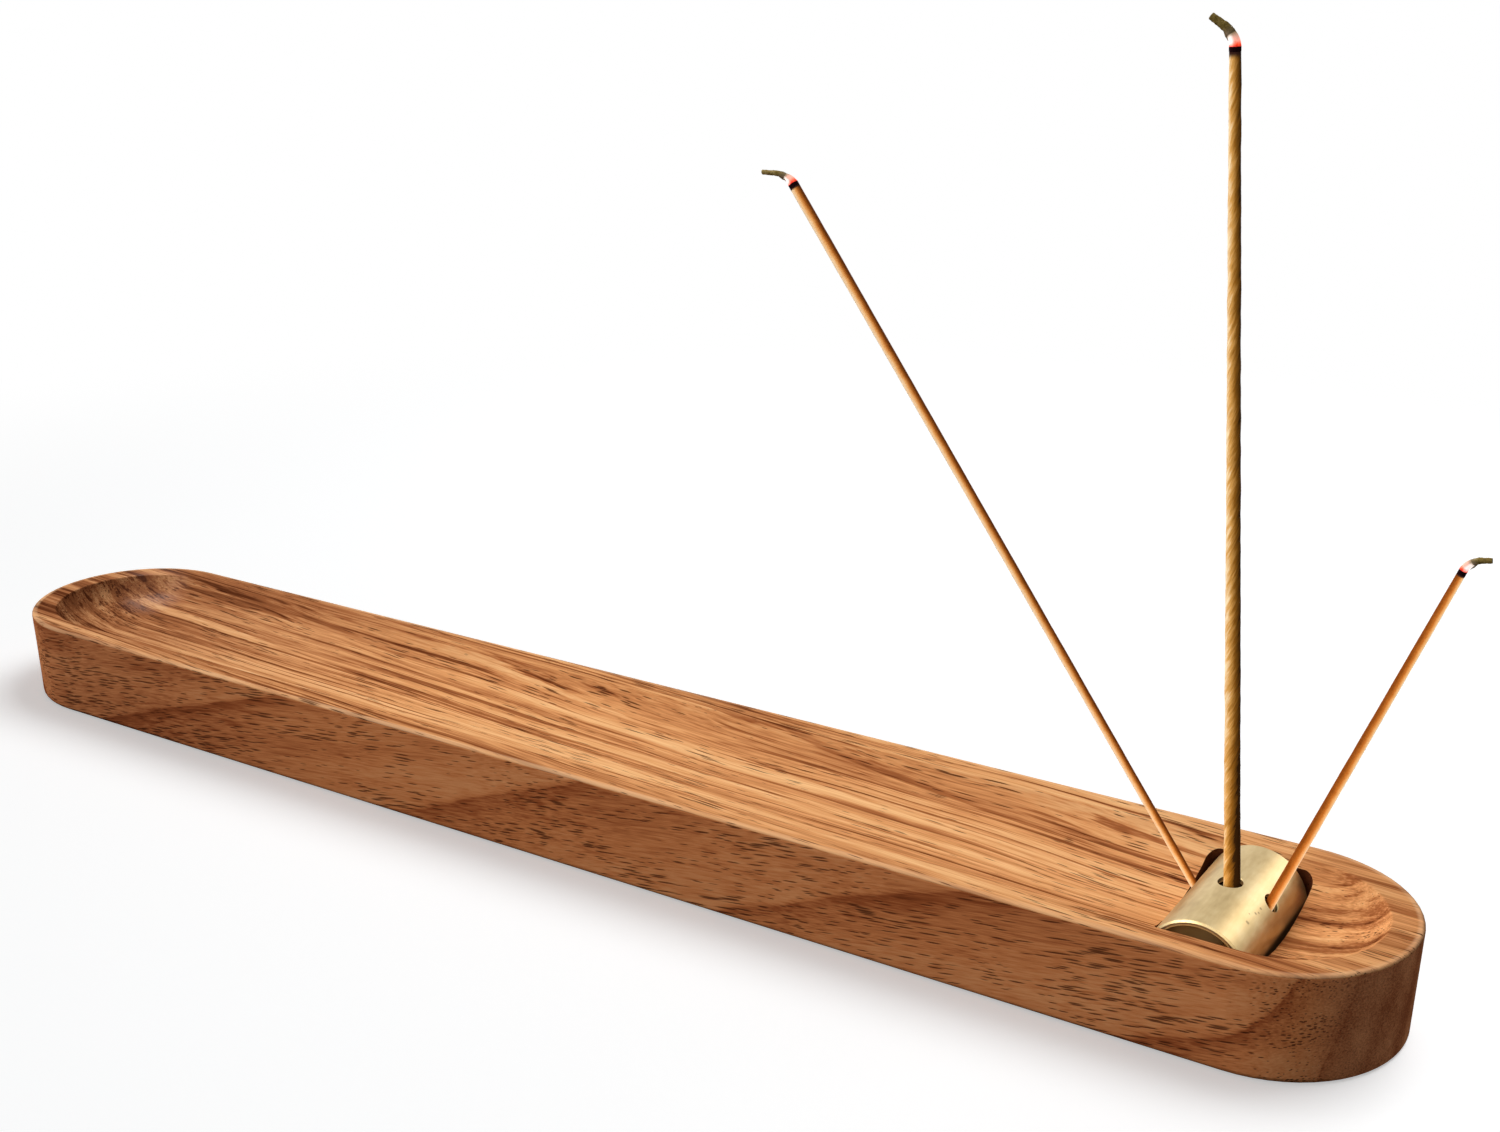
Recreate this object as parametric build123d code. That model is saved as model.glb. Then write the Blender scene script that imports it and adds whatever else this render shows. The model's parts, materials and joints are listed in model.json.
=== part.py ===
from build123d import *
import math
import os
from typing import NamedTuple

# Incense stick holder: a long wooden tray with a coved trough, a drilled brass tube that lies
# across a pocket in it, and three burning incense sticks that stand in the tube.
# Millimetres and degrees. X runs along the tray towards the tube, Y across it, Z up.
# The origin is the middle of the tray's underside.

# Tray
tray_length = 300.0
tray_width = 44.0
tray_height = 18.5
wall_draft = 0.55  # each side is this much further in at the base than at the rim
base_round = 1.0
top_round = 0.6
rim_width = 5.0
rim_round = 0.4
trough_depth = 6.1
cove_radius = 9.0  # curve of the trough's sides
cove_steepness = 60.0  # slope of the trough's side where it meets the rim

# Brass tube and the pocket it lies in
tube_inset = 29.5  # from the tray's near end to the tube's axis
tube_diameter = 16.5
tube_wall = 0.8
tube_length = 29.6
tube_chamfer = 0.3
tube_floor_gap = 0.15
tube_side_gap = 0.7
tube_end_gap = 1.1
pocket_floor = 3.2  # wood left under the pocket
pocket_corner = 2.0

# Holes in the tube: round it from the crest towards +X, and along it from its middle
wide_hole_diameter = 4.0
narrow_hole_diameter = 3.0
hole_countersink = 0.2
middle_hole_place = 0.5
right_hole_place = 2.1
left_hole_place = 4.7
left_hole_angle = -65.0
middle_hole_angle = -1.8
right_hole_angle = 47.9

# Sticks: lean from upright towards +X, length from the hole to the charred band, diameters
left_lean = -35.7
left_reach = 130.5
left_foot_diameter = 1.3
left_top_diameter = 1.75
middle_lean = -4.5
middle_reach = 126.6
middle_foot_diameter = 2.7
middle_top_diameter = 1.7
right_lean = 20.8
right_reach = 62.9
right_foot_diameter = 1.7
right_top_diameter = 1.25
left_foot_rise = 0.0  # of each foot, above the lowest place that the bore leaves it
middle_foot_rise = 0.0
right_foot_rise = 4.2  # so that it stays clear of the middle stick
left_side_step = 0.0  # of each stick, from the middle of its hole, across the stick towards +X
middle_side_step = 0.25
right_side_step = 0.0
foot_gap = 0.25  # from a stick's lower end to the tube's bore
foot_bevel = 0.15

# Burning tips: a straight charred band, an ember that starts the bend and ash that ends it
char_length = 0.7
ember_length = 1.8
left_ash_length = 4.5
left_ash_diameter = 0.95
left_ash_lean = -90.0
middle_ash_length = 3.9
middle_ash_diameter = 1.35
middle_ash_lean = -58.0
right_ash_length = 2.7
right_ash_diameter = 0.95
right_ash_lean = 80.0
ember_turn_share = 0.6  # of the whole bend
ash_bend_share = 0.4  # of the ash's length
ash_end_share = 0.82  # of the ash's diameter, at its free end
tip_steps = 4

# Places that follow from the sizes
end_centre = tray_length / 2 - tray_width / 2
trough_half = tray_width / 2 - rim_width
tube_radius = tube_diameter / 2
bore_radius = tube_radius - tube_wall
tube_x = tray_length / 2 - tube_inset
tube_z = pocket_floor + tube_floor_gap + tube_radius


class Stick(NamedTuple):
    """Sizes of one stick, its burning tip and the hole it stands in."""

    hole_angle: float
    hole_place: float
    hole_diameter: float
    lean: float
    reach: float
    foot_rise: float
    side_step: float
    foot_diameter: float
    top_diameter: float
    ash_length: float
    ash_diameter: float
    ash_lean: float


sticks = {
    "left": Stick(
        hole_angle=left_hole_angle,
        hole_place=left_hole_place,
        hole_diameter=narrow_hole_diameter,
        lean=left_lean,
        reach=left_reach,
        foot_rise=left_foot_rise,
        side_step=left_side_step,
        foot_diameter=left_foot_diameter,
        top_diameter=left_top_diameter,
        ash_length=left_ash_length,
        ash_diameter=left_ash_diameter,
        ash_lean=left_ash_lean,
    ),
    "middle": Stick(
        hole_angle=middle_hole_angle,
        hole_place=middle_hole_place,
        hole_diameter=wide_hole_diameter,
        lean=middle_lean,
        reach=middle_reach,
        foot_rise=middle_foot_rise,
        side_step=middle_side_step,
        foot_diameter=middle_foot_diameter,
        top_diameter=middle_top_diameter,
        ash_length=middle_ash_length,
        ash_diameter=middle_ash_diameter,
        ash_lean=middle_ash_lean,
    ),
    "right": Stick(
        hole_angle=right_hole_angle,
        hole_place=right_hole_place,
        hole_diameter=narrow_hole_diameter,
        lean=right_lean,
        reach=right_reach,
        foot_rise=right_foot_rise,
        side_step=right_side_step,
        foot_diameter=right_foot_diameter,
        top_diameter=right_top_diameter,
        ash_length=right_ash_length,
        ash_diameter=right_ash_diameter,
        ash_lean=right_ash_lean,
    ),
}


def rounded(face, corner, radius):
    """The flat shape with the corner nearest the given point rounded."""
    nearest = face.vertices().sort_by_distance(Vector(*corner))[0]
    return fillet(nearest, radius)


def tray_half_section():
    """Half of the tray's cross-section: X outwards from the middle, Y up."""
    half = tray_width / 2
    trough_floor = tray_height - trough_depth
    steep = math.radians(cove_steepness)
    cove_x = trough_half - cove_radius * math.sin(steep)
    cove_y = tray_height + cove_radius * math.cos(steep)
    # The floor's curve is centred over the middle and runs smoothly into the cove.
    drop = cove_y - trough_floor
    floor_radius = (cove_x**2 + drop**2 - cove_radius**2) / (2 * (drop - cove_radius))
    floor_y = trough_floor + floor_radius
    meeting = math.degrees(math.atan2(cove_y - floor_y, cove_x))
    rim_angle = cove_steepness - 90
    outline = [
        Line((0, 0), (half - wall_draft, 0)),
        Line((half - wall_draft, 0), (half, tray_height)),
        Line((half, tray_height), (trough_half, tray_height)),
        CenterArc((cove_x, cove_y), cove_radius, meeting, rim_angle - meeting),
        CenterArc((0, floor_y), floor_radius, -90, meeting + 90),
        Line((0, trough_floor), (0, 0)),
    ]
    section = make_face(outline)
    section = rounded(section, (half - wall_draft, 0), base_round)
    section = rounded(section, (half, tray_height), top_round)
    return rounded(section, (trough_half, tray_height), rim_round)


def make_tray():
    """One section, run along the middle and turned round both ends, with the pocket cut in."""
    section = tray_half_section()
    side = extrude(Plane.YZ * section, end_centre, both=True)
    end = revolve(Plane.XZ * section, Axis.Z, 180)
    tray = side + mirror(side, Plane.XZ)
    tray += Pos(end_centre, 0, 0) * Rot(0, 0, -90) * end
    tray += Pos(-end_centre, 0, 0) * Rot(0, 0, 90) * end
    pocket_width = tube_diameter + 2 * tube_side_gap
    pocket_length = tube_length + 2 * tube_end_gap
    pocket = extrude(RectangleRounded(pocket_width, pocket_length, pocket_corner), tray_height)
    return tray - Pos(tube_x, 0, pocket_floor) * pocket


def make_tube():
    """Open tube along Y with bevelled ends and a countersunk hole for each stick."""
    half = tube_length / 2
    wall = Polyline(
        (bore_radius, -half),
        (tube_radius - tube_chamfer, -half),
        (tube_radius, tube_chamfer - half),
        (tube_radius, half - tube_chamfer),
        (tube_radius - tube_chamfer, half),
        (bore_radius, half),
        close=True,
    )
    tube = revolve(make_face(wall), Axis.Y, 360)
    upwards = (Align.CENTER, Align.CENTER, Align.MIN)
    flare_height = 2 * hole_countersink
    for stick in sticks.values():
        spot = Pos(0, stick.hole_place, 0) * Rot(0, stick.hole_angle, 0)
        hole_radius = stick.hole_diameter / 2
        tube -= spot * Cylinder(hole_radius, tube_diameter, align=upwards)
        flare = Cone(hole_radius, hole_radius + flare_height, flare_height, align=upwards)
        tube -= spot * Pos(0, 0, tube_radius - hole_countersink) * flare
    return Pos(tube_x, 0, tube_z) * tube


def bent(radius, angle):
    """The place at the end of an arc that sets off along Z and turns towards X."""
    place = Pos(radius * (1 - math.cos(angle)), 0, radius * math.sin(angle))
    return place * Rot(0, math.degrees(angle), 0)


def make_stick(stick):
    """The unburnt stick, and the place at the middle of its upper end, with Z along the stick."""
    tilt = math.radians(stick.hole_angle - stick.lean)
    # The side step is taken from where the hole's own axis is halfway through the tube's wall.
    wall_middle = tube_radius - tube_wall / 2
    offset = wall_middle * math.sin(tilt) + stick.side_step
    foot = stick.foot_diameter / 2
    bore_depth = math.sqrt((bore_radius - foot_gap) ** 2 - (abs(offset) + foot) ** 2)
    sink = bore_depth - stick.foot_rise
    top = wall_middle * math.cos(tilt) + stick.reach
    axis = Pos(tube_x, stick.hole_place, tube_z) * Rot(0, stick.lean, 0) * Pos(offset, 0, 0)
    bevel_top = (foot, foot_bevel - sink)
    side_top = (stick.top_diameter / 2, top)
    # Half of the stick's outline, as radius and height. The long taper is one spline.
    outline = [
        Polyline(side_top, (0, top), (0, -sink), (foot - foot_bevel, -sink), bevel_top),
        Spline(bevel_top, side_top),
    ]
    solid = revolve(Plane.XZ * make_face(outline), Axis.Z, 360)
    return axis * solid, axis * Pos(0, 0, top)


def make_tip(stick, stick_end):
    """The charred band, the ember and the ash, from the stick's upper end on."""
    top = stick.top_diameter / 2
    ash = stick.ash_diameter / 2
    turn = math.radians(stick.ash_lean - stick.lean)
    ember_turn = turn * ember_turn_share
    ash_turn = turn - ember_turn
    ash_bent_length = stick.ash_length * ash_bend_share
    ember_bend = ember_length / ember_turn
    ash_bend = ash_bent_length / ash_turn
    ember_start = stick_end * Pos(0, 0, char_length)
    ash_start = ember_start * bent(ember_bend, ember_turn)
    ember_rings = []
    ash_rings = []
    for step in range(tip_steps + 1):
        way = step / tip_steps
        ember_radius = top + (ash - top) * way
        ember_rings.append(ember_start * bent(ember_bend, ember_turn * way) * Circle(ember_radius))
        ash_rings.append(ash_start * bent(ash_bend, ash_turn * way) * Circle(ash))
    free_end = ash_start * bent(ash_bend, ash_turn) * Pos(0, 0, stick.ash_length - ash_bent_length)
    ash_rings.append(free_end * Circle(ash * ash_end_share))
    char = stick_end * extrude(Circle(top), char_length)
    return char, loft(ember_rings, ruled=True), loft(ash_rings, ruled=True)


parts = {"tray": make_tray(), "brass_tube": make_tube()}
for name, stick in sticks.items():
    parts[name + "_stick"], stick_end = make_stick(stick)
    for zone, solid in zip(("char", "ember", "ash"), make_tip(stick, stick_end)):
        parts[name + "_" + zone] = solid

os.makedirs("parts", exist_ok=True)
for node, solid in parts.items():
    export_step(solid, os.path.join("parts", node + ".step"))
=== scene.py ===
import json
import math
import random
from typing import NamedTuple

import bpy
import numpy as np
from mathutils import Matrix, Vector


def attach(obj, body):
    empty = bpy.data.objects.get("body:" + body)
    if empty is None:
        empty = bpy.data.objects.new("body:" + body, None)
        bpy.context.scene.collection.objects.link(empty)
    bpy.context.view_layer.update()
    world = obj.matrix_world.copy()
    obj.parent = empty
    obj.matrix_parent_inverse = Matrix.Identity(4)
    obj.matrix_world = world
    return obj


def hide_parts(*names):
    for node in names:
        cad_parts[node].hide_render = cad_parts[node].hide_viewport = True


# Incense stick holder: a long wooden tray, a drilled brass tube that lies in it, and three
# burning sticks. Metres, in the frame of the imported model: X along the tray, Z up.
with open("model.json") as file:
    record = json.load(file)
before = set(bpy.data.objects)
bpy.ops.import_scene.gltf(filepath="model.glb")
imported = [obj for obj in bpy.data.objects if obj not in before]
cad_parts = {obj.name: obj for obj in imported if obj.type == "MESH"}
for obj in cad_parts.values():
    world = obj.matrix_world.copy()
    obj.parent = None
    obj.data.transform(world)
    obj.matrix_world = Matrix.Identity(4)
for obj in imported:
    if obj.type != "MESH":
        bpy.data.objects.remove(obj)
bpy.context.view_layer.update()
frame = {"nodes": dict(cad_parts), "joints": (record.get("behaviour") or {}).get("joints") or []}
nodes = frame["nodes"]
joints = {joint["name"]: joint for joint in frame["joints"]}
tube_axis = joints["tube_turn"]["pos_m"]

# Camera, as fitted to the photograph's frame
photo_width_px = 1500
focal_length_px = 1973.2
sensor_width = 36.0  # millimetres, as the camera counts it
camera_place = (0.20383, -0.27334, 0.16767)
camera_azimuth = 32.23
camera_elevation = 19.08

# Stage
floor_size = 6.0
floor_span = (0.22, 0.42)  # the floor takes shadow up to the first and is white past the second
floor_colour = (0.80, 0.808, 0.814)  # a little cool, against the wood's warm glow on it
floor_bounce_colour = (0.25, 0.25, 0.25)  # what the floor throws back onto the object
floor_lift = 0.45  # brightness that the camera sees added to the lit floor
ambient_strength = 0.15
white = (1.0, 1.0, 1.0)

# Growth rings of the wood: leaning planes along fibres that run at a slant to the tray
grain_rise_angle = 7.7  # of the fibres, from the tray's length upwards
grain_drift_angle = -3.4  # and sideways
ring_spacing = 0.0066
ring_lean_angle = 13.0
ring_start = 0.68  # of a ring, at the origin
sharp_ring = (  # way through a ring, and how dark it is there
    (0.0, 1.0),
    (0.04, 0.85),
    (0.12, 0.48),
    (0.4, 0.16),
    (0.955, 0.0),
    (0.985, 0.4),
    (1.0, 1.0),
)
soft_ring = ((0.0, 1.0), (0.25, 0.7), (0.5, 0.15), (0.7, 0.2), (1.0, 1.0))
ring_strength = (0.75, 1.0)  # of the faintest ring and the strongest
ring_wander = 0.0009
ring_wander_size = (0.085, 0.026, 0.026)
ring_ripple = 0.0004
ring_ripple_size = (0.016, 0.005, 0.008)

# Streaks, fibres and pores of the wood, as lengths along, across and up
fibrous_roughness = 0.6  # of the noise in streaks and strands: how much its finer parts count
streak_size = (0.140, 0.0034, 0.0050)
line_size = (0.120, 0.0011, 0.0022)
fine_line_size = (0.036, 0.00042, 0.0008)
fibre_size = (0.008, 0.00026, 0.00026)
tone_size = (0.070, 0.014, 0.012)
pore_size = (0.0076, 0.00046, 0.00046)
long_pore_size = (0.0140, 0.00058, 0.00058)
grain_wave = 0.0018
grain_wave_size = (0.055, 0.018, 0.018)
pore_bend = 0.00025
pore_bend_size = (0.010, 0.005, 0.005)
pore_patch_size = (0.030, 0.0045, 0.0060)
pore_depth = 0.00006
pore_bump = 0.8
fibre_height = 0.25  # of a pore's depth

# Where noise, or the slope of a face, goes from nothing to all
top_span = (0.25, 0.42)
end_span = (0.45, 0.85)
line_span = (0.55, 0.65)
fine_line_span = (0.52, 0.68)
pore_patch_span = (0.3, 0.68)
pore_span = (0.5, 1.05)  # of a pore's reach, outwards

# Pairs for the wood: on the sides, and how much more above
line_share = (0.15, 0.85)
pore_reach = (0.16, -0.12)  # in pore sizes
ring_dark = (0.42, -0.16)
# painted shade towards the end away from the tube
far_end_shade = (0.12, 0.14)
line_dark = (0.30, 0.10)
streak_dark = (0.40, 0.80)
pore_dark = (0.80, 0.04)
base_dark = (0.225, 0.02)

# More shares for the wood
fine_line_share = 0.38
long_pore_reach = 0.06
patch_reach = 0.26  # added in the middle of a patch of pores
end_fade = -0.75  # of the lines and pores, where they are cut across
near_line_fade = -0.5  # of the lines beyond the tube
ring_line_dark = 0.20  # added to the rings where a line crosses them
ring_end_dark = -0.26  # and at the ends
end_dark = 0.20
# painted shade in the trough beyond the tube
near_trough_shade = 0.14
tone_dark = 0.30
fibre_dark = 0.60
wood_roughness = 0.42
streak_roughness = 0.16
pore_roughness = 0.3
gloss_roughness = 0.3

# Colours of the wood, places with a look of their own, and places with painted light and shade
wood_shades = (
    (0.0, (0.95, 0.56, 0.26)),
    (0.3, (0.76, 0.35, 0.135)),
    (0.6, (0.41, 0.140, 0.047)),
    (1.0, (0.13, 0.033, 0.010)),
)
pore_colour = (0.055, 0.012, 0.005)
side_tint = (0.99, 0.75, 0.67)  # the sides are redder and darker than the top
end_tint = (1.14, 1.04, 1.20)  # and the end grain turned greyer
far_tint = (0.90, 0.97, 1.10)  # and the end away from the tube is tinted greyer
dark_end_span = (-0.03, -0.14)  # along the tray, where the wood is painted darker: painted shade towards the end away from the tube
near_trough_span = (0.122, 0.131)  # and again beyond the tube, where shade is painted on the trough
end_centre = 0.128  # from the middle to where the half-round ends start
edge_reach = (0.0206, 0.0212)  # from the tray's middle line
edge_height = (0.0181, 0.0183)
edge_patch_size = (0.020, 0.006, 0.006)
edge_patch_span = (0.35, 0.65)
edge_wear_and_sheen = (0.25, 0.6)  # from the least worn patch to the most: paler by wear and by a painted highlight on the rounded edge
edge_sheen_colour = (0.86, 0.52, 0.28)
gloss_place = (-0.137, 0.012, 0.0150)
gloss_span = (0.0022, 0.011)
gloss_strength = 0.4
# Painted shade in the tube's pocket: its floor and walls are darkened as if in shade
pocket_half_x = (0.00897, 0.00905)  # its wall and just beyond it, from the tube's axis
pocket_half_y = (0.01592, 0.01600)
pocket_floor = 0.0032
pocket_floor_span = (0.0002, 0.0004)  # above it and below
pocket_wall_span = (0.02, 0.05)  # of the upward part of a face's normal
pocket_bare_span = (-0.99, -0.9)  # of its part along the tray: the wall past the tube, facing -X, gets no painted shade
pocket_wall_shade = 0.95
pocket_shade_share = 0.95
pocket_shade_colour = (0.027, 0.007, 0.005)

# Sticks: the twisted one has ridges that wind round it, the rolled ones are smooth
stick_sides = 24
stick_cuts = 15  # along the length, in each round
stick_cut_rounds = 2
ridge_count = 10
ridge_rise = 0.022  # of the radius, above and below
ridge_shares = (1.0, 0.5, -0.5, -1.0, -0.5, 0.5)  # of the rise, at the corners of one ridge
ridge_turn_length = 0.014
rolled_lumps = (0.00006, 0.004)  # depth and size
twisted_lumps = (0.00022, 0.0035)
foot_bevel = 0.00015
merge_gap = 1e-7  # points closer than this become one
level_gap = 1e-6  # points of one ring lie this level
smooth_angle = 40.0
scorch_colour = (0.04, 0.014, 0.009)
painted_light_angle = 32.0  # from +X towards +Y, the way across the sticks along which light and shade are painted on them
painted_light_strengths = {"left": -1.3, "middle": -1.0, "right": 1.1}  # how strongly one side is painted lit and the other shaded, and which way round
painted_light_lifts = {"left": -0.15, "middle": 0.0, "right": 0.15}  # how much paler all round, or darker where below zero: painted light and shade

# Burning tips
char_length = 0.0007
ember_length = 0.0018
ember_turn_share = 0.6  # of the whole bend
ash_bend_share = 0.4  # of the ash's length
ash_end_share = 0.82  # of the ash's radius, at its free end
tip_sides = 20
char_steps = 3
ember_steps = 10
ash_bend_steps = 8
ash_straight_steps = 12
tip_lumps = {  # depth and size
    "char_band": (0.00005, 0.0005),
    "glowing_ember": (0.00006, 0.0006),
    "ash_curl": (0.00016, 0.0005),
}
ash_bend_least = 0.94  # of the ash's radius, at its thinnest rings
ash_straight_least = 0.93
ash_hollows = ((0.25, 0.1), (0.3, 0.25))  # of the radius, inwards and down, at the free end
flake_length = 0.0019
flake_start = 0.34  # of the ash's length
flake_sides = 10
flake_thickness = 0.00024
flake_taper = 0.9  # of the thickness, lost by the flake's end
flake_stand_off = 0.00012

# Looks of the incense, the char, the ember and the ash
uneven_roughness = 0.55  # of the noise in uneven tones
powder_roughness = 0.2
powder_bump = 0.7
matte_specular = 0.03
paste_tone_size = (0.002, 0.002, 0.002)
paste_powder = {"size": 0.00022, "roughness": 0.75, "depth": 0.00003}
paste_painted_light_share = 0.5
paste_tone_share = 0.25
paste_grain_share = 0.2
paste_scorch = {"start": 0.0001, "end": 0.0004}  # below the stick's upper end
paste_shades = (
    (0.08, (0.22, 0.052, 0.005)),
    (0.40, (0.55, 0.160, 0.022)),
    (0.66, (0.88, 0.42, 0.13)),
    (0.95, (1.0, 0.74, 0.46)),
)
strand_size = (0.00032, 0.00032, 0.0022)
strand_tone_size = (0.0008, 0.0008, 0.0040)
strand_depth = 0.00008
strand_bump = 0.8
strand_roughness = 0.65
strand_rough_share = 0.2
strand_foot_span = (0.095, 0.128)  # below the upper end, where the stick is painted darker: painted shade down by the tube's hole
strand_shade = 0.42
strand_foot_shade = -0.40
strand_painted_light_share = 0.46
strand_foot_painted_light_share = 0.26  # added at the foot: painted light and shade are stronger there
strand_tone_share = 0.5
strand_grain_share = 0.7
strand_scorch = {"start": 0.0002, "end": 0.0011}
strand_shades = (
    (0.0, (0.05, 0.020, 0.004)),
    (0.05, (0.13, 0.050, 0.006)),
    (0.4, (0.34, 0.134, 0.014)),
    (0.7, (0.70, 0.355, 0.090)),
    (1.0, (1.0, 0.80, 0.50)),
)
char_powder = {"size": 0.0002, "roughness": 0.85, "depth": 0.00005}
char_shades = ((0.3, (0.006, 0.002, 0.003)), (0.75, (0.035, 0.008, 0.010)))
ember_glow = 0.85
ember_powder = {"size": 0.00045, "roughness": 0.8, "depth": 0.00004}
ember_grain_share = 0.35
ember_heart_span = (-0.45, 0.35)  # from the bend's outer side to its inner one
ember_outside = (  # from the char to the ash
    (0.0, (0.55, 0.012, 0.006)),
    (0.12, (1.0, 0.09, 0.03)),
    (0.40, (1.0, 0.36, 0.27)),
    (0.68, (0.62, 0.33, 0.25)),
    (0.95, (0.20, 0.14, 0.075)),
)
ember_heart = (
    (0.0, (0.9, 0.05, 0.03)),
    (0.15, (1.0, 0.42, 0.33)),
    (0.35, (1.0, 0.88, 0.86)),
    (0.78, (1.0, 0.84, 0.78)),
    (1.0, (0.50, 0.40, 0.30)),
)
ash_tone_size = (0.0008, 0.0008, 0.0008)
ash_powder = {"size": 0.00016, "roughness": 0.88, "depth": 0.00010}
ash_grain_share = 0.5
ash_shades = (
    (0.25, (0.105, 0.070, 0.012)),
    (0.5, (0.27, 0.185, 0.050)),
    (0.75, (0.46, 0.35, 0.15)),
)
fresh_ash_span = (0.0, 0.35)  # along the ash
fresh_ash_share = 0.7
fresh_ash_inner_span = (-0.4, 0.6)  # from the bend's outer side to its inner one
fresh_ash_outside = (0.24, 0.175, 0.11)
fresh_ash_inside = (0.50, 0.38, 0.28)

# Brass
brass_mottle_size = (0.0045, 0.0060, 0.0045)
brass_draw_size = (0.0006, 0.0030, 0.0006)
brass_scratch_depth = 0.00002
brass_bump = 0.3
brass_draw_share = 0.5
brass_roughness = 0.33
mottle_roughness = 0.12
draw_roughness = 0.10
bore_roughness = 0.2
brass_shades = (
    (0.25, (0.44, 0.310, 0.135)),
    (0.5, (0.52, 0.380, 0.180)),
    (0.75, (0.59, 0.455, 0.24)),
)
tube_radius = 0.00825
bore_span = (0.0075, 0.0077)  # from the tube's axis
bore_colour = (0.45, 0.22, 0.055)  # tarnished, where nobody polishes
bore_tarnish = 0.9
bore_metal_loss = -0.8
underside_span = (0.0017, 0.0006)  # above the tube's axis, where it goes down into the pocket
underside_shade_colour = (0.030, 0.014, 0.006)  # painted shade, where it lies in the pocket's narrow gap
underside_shade_share = 0.95
speck_colour = (0.13, 0.09, 0.03)
speck_strength = 0.7
speck_core = 0.4  # of a speck's size
brass_specks = (  # angle from the crest towards +X, place along the tube, size
    (40.0, -0.0073, 0.00045),
    (41.0, -0.0038, 0.00035),
    (43.0, -0.0030, 0.00025),
    (42.0, -0.0017, 0.00030),
    (36.0, -0.0052, 0.00022),
)


class Softbox(NamedTuple):
    """A square soft light: where it stands, seen from the tray, and which group it lights."""

    azimuth: float
    elevation: float
    distance: float
    size: float
    power: float
    lights: str
    blockers: str = None  # the group that casts shadows in it, or else every piece
    colour: tuple = white


wood_glow = (1.0, 0.56, 0.25)  # light that the wood beside the tube throws onto it
softboxes = {
    "key_light": Softbox(-46.0, 42.0, 3.0, 1.5, 48.0, "all_but_floor"),
    "top_light": Softbox(-110.0, 50.0, 3.0, 1.7, 60.0, "all_but_floor"),
    "rear_light": Softbox(154.0, 20.0, 0.9, 0.3, 0.6, "all_but_floor"),
    "floor_light": Softbox(150.0, 62.0, 1.2, 0.8, 10.1, "floor_alone"),
    "brass_light": Softbox(157.0, 25.0, 1.0, 0.35, 0.46, "brass_alone", "brass_alone"),
    "brass_fill": Softbox(209.0, 18.0, 1.0, 0.35, 0.05, "brass_alone", "brass_alone"),
    "brass_low_light": Softbox(
        143.5, -10.0, 1.04, 0.35, 0.32, "brass_alone", "brass_alone", colour=wood_glow
    ),
    "bore_light": Softbox(24.0, 28.0, 1.04, 0.1, 6.0, "brass_alone"),
    "stick_light": Softbox(-5.0, 20.0, 3.0, 1.5, 50.0, "sticks_alone"),
    "stick_fill": Softbox(165.0, 20.0, 3.0, 1.5, 30.0, "sticks_alone"),
    "right_stick_light": Softbox(76.0, 20.0, 3.0, 1.5, 72.0, "right_stick_alone"),
}


def node(tree, kind, **settings):
    """A new node with its settings."""
    made = tree.nodes.new(kind)
    for setting, value in settings.items():
        setattr(made, setting, value)
    return made


def feed(tree, socket, value):
    """Links an output to the socket, or sets the socket's own value."""
    if isinstance(value, bpy.types.NodeSocket):
        tree.links.new(value, socket)
    elif socket.type == "RGBA":
        socket.default_value = (*value, 1.0)
    else:
        socket.default_value = value


def fed(tree, made, **values):
    """A node's outputs, with its inputs fed by their titles in plain letters."""
    for name, value in values.items():
        title = name.replace("_", " ").title().replace("Ior", "IOR")
        feed(tree, made.inputs[title], value)
    return made.outputs


def filled(tree, made, *values):
    """A node's outputs, with its inputs fed in turn."""
    for socket, value in zip(made.inputs, values):
        feed(tree, socket, value)
    return made.outputs


def calc(tree, operation, *values, kind="ShaderNodeMath", output="Value"):
    """A sum on numbers and outputs."""
    return filled(tree, node(tree, kind, operation=operation), *values)[output]


def vector_calc(tree, operation, *values, output="Vector"):
    """A sum on vectors."""
    return calc(tree, operation, *values, kind="ShaderNodeVectorMath", output=output)


def times(tree, first, second):
    """Two numbers multiplied."""
    return calc(tree, "MULTIPLY", first, second)


def add_up(tree, start, *parts):
    """A start value plus other values, each times its share."""
    for value, share in parts:
        start = calc(tree, "MULTIPLY_ADD", value, share, start)
    return start


def centred(tree, value):
    """The value with its middle, one half, moved to zero."""
    return calc(tree, "SUBTRACT", value, 0.5)


def distance(tree, place, point):
    """How far a place is from a point."""
    return vector_calc(tree, "DISTANCE", place, point, output="Value")


def split(tree, vector):
    """The three numbers of a vector."""
    parts = fed(tree, node(tree, "ShaderNodeSeparateXYZ"), vector=vector)
    return parts["X"], parts["Y"], parts["Z"]


def combined(tree, axes, number):
    """A vector with the same number along each of the axes named."""
    made = node(tree, "ShaderNodeCombineXYZ")
    for axis in axes:
        feed(tree, made.inputs[axis], number)
    return made.outputs["Vector"]


def fade(tree, value, start, end, first=0.0, last=1.0):
    """A soft step from the first number to the last as the value goes from start to end."""
    made = node(tree, "ShaderNodeMapRange", interpolation_type="SMOOTHSTEP")
    return filled(tree, made, value, start, end, first, last)["Result"]


def noise(tree, place, size, detail=2.0, roughness=0.5):
    """Soft noise from 0 to 1 with features of the given size."""
    made = node(tree, "ShaderNodeTexNoise")
    scaled = vector_calc(tree, "DIVIDE", place, size)
    return fed(tree, made, vector=scaled, scale=1.0, detail=detail, roughness=roughness)["Fac"]


def spots(tree, place, size):
    """How far each place is from the nearest of many scattered points, in spot sizes."""
    made = node(tree, "ShaderNodeTexVoronoi")
    return fed(tree, made, vector=vector_calc(tree, "DIVIDE", place, size), scale=1.0)["Distance"]


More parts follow.
